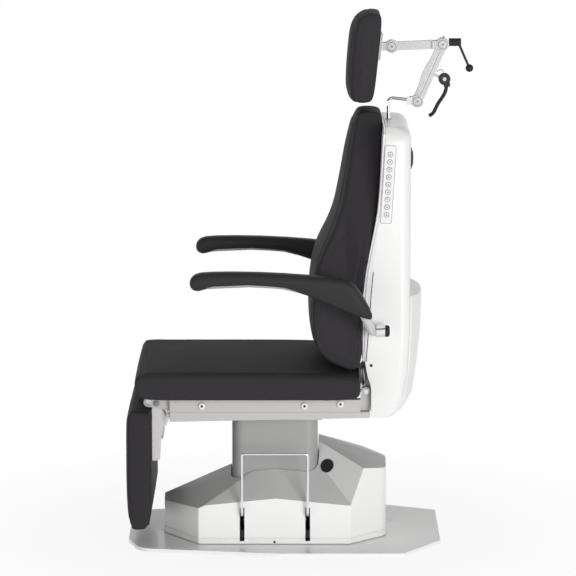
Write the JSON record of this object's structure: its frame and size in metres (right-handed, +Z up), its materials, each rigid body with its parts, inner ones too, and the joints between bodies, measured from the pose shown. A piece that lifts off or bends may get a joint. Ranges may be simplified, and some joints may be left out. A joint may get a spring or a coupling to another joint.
{
  "type": "examination chair",
  "caption": "Ear, nose and throat examination chair with lifting column, swivel base, reclining back, coupled leg rest, armrests and jointed headrest.",
  "frame": {"origin": "on the swivel axis, at the underside of the floor plate", "axes": "+Z up, -X the way the patient faces, +Y the patient's right"},
  "size_m": [0.9618, 0.716, 1.4777],
  "materials": {
    "white_lacquer": "satin white lacquer",
    "white_cover": "satin white plastic",
    "pan_plastic": "pale satin plastic",
    "column_grey": "satin grey paint",
    "frame_grey": "pale grey paint",
    "steel": "bright steel",
    "chrome": "polished",
    "alloy": "cast, satin",
    "black_plastic": "black, fine grain",
    "grey_plastic": "grey",
    "charcoal_hide": "charcoal artificial leather",
    "arm_foam": "dark grey integral foam",
    "plywood": "plain plywood",
    "keypad_foil": "pale foil",
    "key_foil": "pale grey foil"
  },
  "bodies": {
    "base": {"base_plate": "white_lacquer", "bearing_lower_ring": "steel"},
    "turntable": {"bearing_upper_ring": "steel", "turntable_plate": "steel", "base_cover": "white_lacquer", "cover_skirt": "white_lacquer", "socket_plug": "black_plastic", "inner_column": "steel", "column_glide": "grey_plastic", "lift_actuator": "black_plastic", "pedal_bearing": "steel", "control_box": "grey_plastic"},
    "pedal": {"brake_pedal": "steel"},
    "carriage": {"column_sleeve": "column_grey", "lift_rod": "steel", "lower_frame": "frame_grey", "upper_frame": "frame_grey", "seat_board": "plywood", "seat_cushion": "charcoal_hide", "leg_shaft": "steel", "back_shaft": "steel", "recline_actuator": "black_plastic"},
    "push": {"push_frame": "steel", "actuator_rod": "steel"},
    "leg_rest": {"leg_cushion": "charcoal_hide", "leg_board": "black_plastic", "leg_bracket": "frame_grey"},
    "backrest": {"back_cushion": "charcoal_hide", "back_shell": "white_lacquer", "back_pan": "pan_plastic", "motor_cover": "white_cover", "back_frame": "frame_grey", "keypad_panel": "keypad_foil", "arm_collar_left": "frame_grey", "arm_collar_right": "frame_grey", "mast_guide": "steel"},
    "knob": {"mast_knob": "black_plastic"},
    "armrest_left": {"armrest_pad_left": "arm_foam", "armrest_tube_left": "white_lacquer"},
    "armrest_right": {"armrest_pad_right": "arm_foam", "armrest_tube_right": "white_lacquer"},
    "mast": {"head_mast": "chrome"},
    "lower_link": {"lower_arm": "alloy"},
    "cam": {"cam_lever": "black_plastic"},
    "upper_link": {"upper_arm": "alloy"},
    "clamp": {"clamp_lever": "black_plastic"},
    "head": {"head_bracket": "alloy", "head_cushion": "charcoal_hide"},
    "key_1": {"key_1": "key_foil"},
    "key_2": {"key_2": "key_foil"},
    "key_3": {"key_3": "key_foil"},
    "key_4": {"key_4": "key_foil"},
    "key_5": {"key_5": "key_foil"},
    "key_6": {"key_6": "key_foil"},
    "key_7": {"key_7": "key_foil"},
    "key_8": {"key_8": "key_foil"},
    "key_9": {"key_9": "key_foil"}
  },
  "joints": [
    {"name": "swivel", "type": "hinge", "parent": "base", "child": "turntable", "pos_m": [0, 0, 0.022], "axis": [0, 0, 1], "range_deg": [-175, 175]},
    {"name": "brake_pedal_tilt", "type": "hinge", "parent": "turntable", "child": "pedal", "pos_m": [0, -0.14, 0.07], "axis": [1, 0, 0], "range_deg": [0, 25], "stiffness_Nm_per_rad": 4, "springref_deg": -11.46},
    {"name": "lift", "type": "slide", "parent": "turntable", "child": "carriage", "axis": [0, 0, 1], "range_m": [0, 0.2]},
    {"name": "recline", "type": "hinge", "parent": "carriage", "child": "backrest", "pos_m": [0.252, 0, 0.44], "axis": [0, 1, 0], "range_deg": [0, 70]},
    {"name": "leg_lift", "type": "hinge", "parent": "carriage", "child": "leg_rest", "pos_m": [-0.3495, 0, 0.411], "axis": [0, 1, 0], "range_deg": [0, 70]},
    {"name": "push", "type": "slide", "parent": "carriage", "child": "push", "axis": [-1, 0, 0], "range_m": [0, 0.069]},
    {"name": "armrest_left_swing", "type": "hinge", "parent": "backrest", "child": "armrest_left", "pos_m": [0.277, -0.262, 0.625], "axis": [1, 0, 0], "range_deg": [0, 90]},
    {"name": "armrest_right_swing", "type": "hinge", "parent": "backrest", "child": "armrest_right", "pos_m": [0.277, 0.262, 0.625], "axis": [-1, 0, 0], "range_deg": [0, 90]},
    {"name": "knob_turn", "type": "hinge", "parent": "backrest", "child": "knob", "pos_m": [0.372, 0, 1.067], "axis": [1, 0, 0], "range_deg": [-180, 180]},
    {"name": "mast_height", "type": "slide", "parent": "backrest", "child": "mast", "axis": [0, 0, 1], "range_m": [0, 0.1]},
    {"name": "lower_arm_tilt", "type": "hinge", "parent": "mast", "child": "lower_link", "pos_m": [0.395, 0, 1.227], "axis": [0, 1, 0], "range_deg": [0, 45]},
    {"name": "cam_turn", "type": "hinge", "parent": "lower_link", "child": "cam", "pos_m": [0.47, 0, 1.288], "axis": [0, 1, 0], "range_deg": [-100, 0]},
    {"name": "elbow", "type": "hinge", "parent": "lower_link", "child": "upper_link", "pos_m": [0.464, 0, 1.385], "axis": [0, 1, 0], "range_deg": [0, 25]},
    {"name": "clamp_turn", "type": "hinge", "parent": "upper_link", "child": "clamp", "pos_m": [0.5, 0, 1.39], "axis": [1, 0, 0], "range_deg": [0, 120]},
    {"name": "head_tilt", "type": "hinge", "parent": "upper_link", "child": "head", "pos_m": [0.323, 0, 1.379], "axis": [0, 1, 0], "range_deg": [0, 25]},
    {"name": "key_1_press", "type": "slide", "parent": "backrest", "child": "key_1", "axis": [0, 1, 0], "range_m": [0, 0.0008], "stiffness_N_per_m": 500, "springref_m": -0.0008},
    {"name": "key_2_press", "type": "slide", "parent": "backrest", "child": "key_2", "axis": [0, 1, 0], "range_m": [0, 0.0008], "stiffness_N_per_m": 500, "springref_m": -0.0008},
    {"name": "key_3_press", "type": "slide", "parent": "backrest", "child": "key_3", "axis": [0, 1, 0], "range_m": [0, 0.0008], "stiffness_N_per_m": 500, "springref_m": -0.0008},
    {"name": "key_4_press", "type": "slide", "parent": "backrest", "child": "key_4", "axis": [0, 1, 0], "range_m": [0, 0.0008], "stiffness_N_per_m": 500, "springref_m": -0.0008},
    {"name": "key_5_press", "type": "slide", "parent": "backrest", "child": "key_5", "axis": [0, 1, 0], "range_m": [0, 0.0008], "stiffness_N_per_m": 500, "springref_m": -0.0008},
    {"name": "key_6_press", "type": "slide", "parent": "backrest", "child": "key_6", "axis": [0, 1, 0], "range_m": [0, 0.0008], "stiffness_N_per_m": 500, "springref_m": -0.0008},
    {"name": "key_7_press", "type": "slide", "parent": "backrest", "child": "key_7", "axis": [0, 1, 0], "range_m": [0, 0.0008], "stiffness_N_per_m": 500, "springref_m": -0.0008},
    {"name": "key_8_press", "type": "slide", "parent": "backrest", "child": "key_8", "axis": [0, 1, 0], "range_m": [0, 0.0008], "stiffness_N_per_m": 500, "springref_m": -0.0008},
    {"name": "key_9_press", "type": "slide", "parent": "backrest", "child": "key_9", "axis": [0, 1, 0], "range_m": [0, 0.0008], "stiffness_N_per_m": 500, "springref_m": -0.0008}
  ],
  "couplings": [
    {"joint": "leg_lift", "follows": "recline", "ratio": 1},
    {"joint": "push", "follows": "recline", "m_per_rad": 0.05634}
  ]
}
